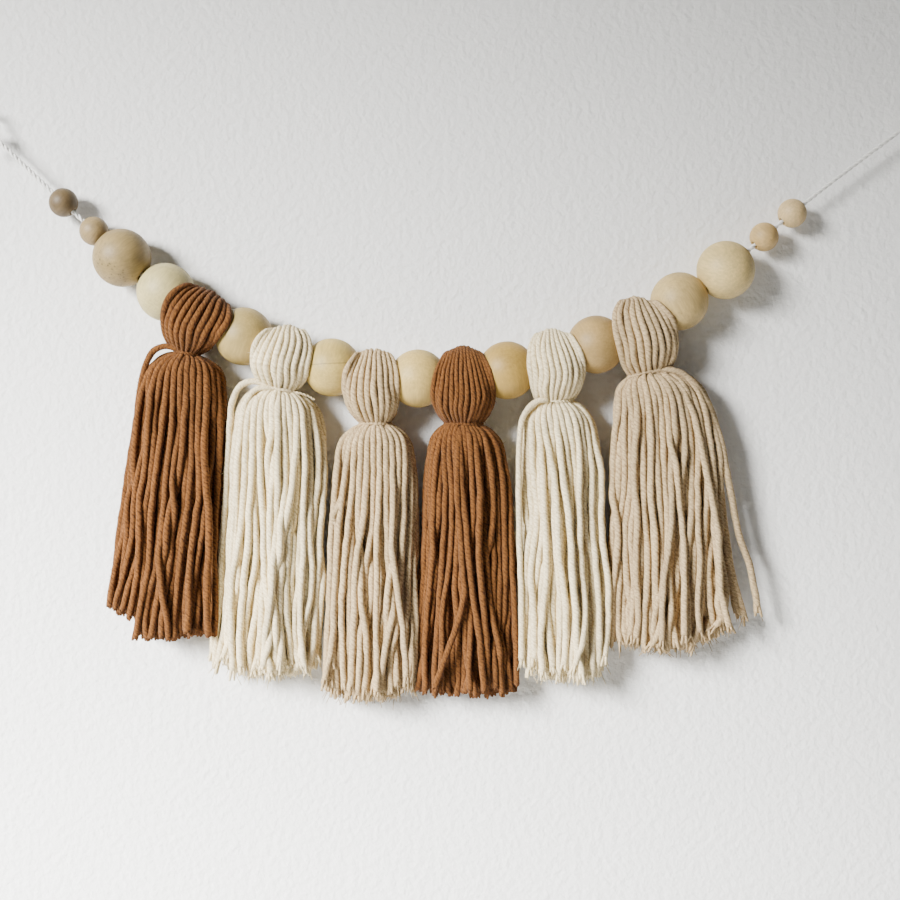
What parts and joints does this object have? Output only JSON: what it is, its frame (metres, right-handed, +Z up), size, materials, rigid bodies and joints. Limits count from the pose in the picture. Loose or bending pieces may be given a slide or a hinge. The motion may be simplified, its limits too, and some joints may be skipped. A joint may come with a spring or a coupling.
{
  "type": "tassel garland",
  "caption": "Hanging garland of round wooden beads and looped yarn tassels threaded on a twisted cord with a knotted loop at each end.",
  "frame": {"origin": "the point inside the left hanging loop where the loop bears on the hook or nail that holds it", "axes": "+X along the garland to its right-hand loop, +Z up, -Y towards the viewer and +Y towards the wall"},
  "size_m": [0.3422, 0.0228, 0.21],
  "materials": {
    "wood_natural": "turned and sanded, bare, with fine grain",
    "cord_cotton": "twisted two-ply cotton cord, matte",
    "yarn_rust": "soft four-ply yarn, matte",
    "yarn_white": "soft four-ply yarn, matte",
    "yarn_beige": "soft four-ply yarn, matte"
  },
  "bodies": {
    "root": {"cord": "cord_cotton", "loop_left": "cord_cotton", "loop_right": "cord_cotton", "bead_small_1": "wood_natural", "bead_small_2": "wood_natural", "bead_large_1": "wood_natural", "bead_large_2": "wood_natural", "bead_large_3": "wood_natural", "bead_large_4": "wood_natural", "bead_large_5": "wood_natural", "bead_large_6": "wood_natural", "bead_large_7": "wood_natural", "bead_large_8": "wood_natural", "bead_large_9": "wood_natural", "bead_small_3": "wood_natural", "bead_small_4": "wood_natural", "tassel_1": "yarn_rust", "tassel_2": "yarn_white", "tassel_3": "yarn_beige", "tassel_4": "yarn_rust", "tassel_5": "yarn_white", "tassel_6": "yarn_beige", "tie_1": "yarn_rust", "tie_2": "yarn_white", "tie_3": "yarn_beige", "tie_4": "yarn_rust", "tie_5": "yarn_white", "tie_6": "yarn_beige"}
  },
  "joints": []
}
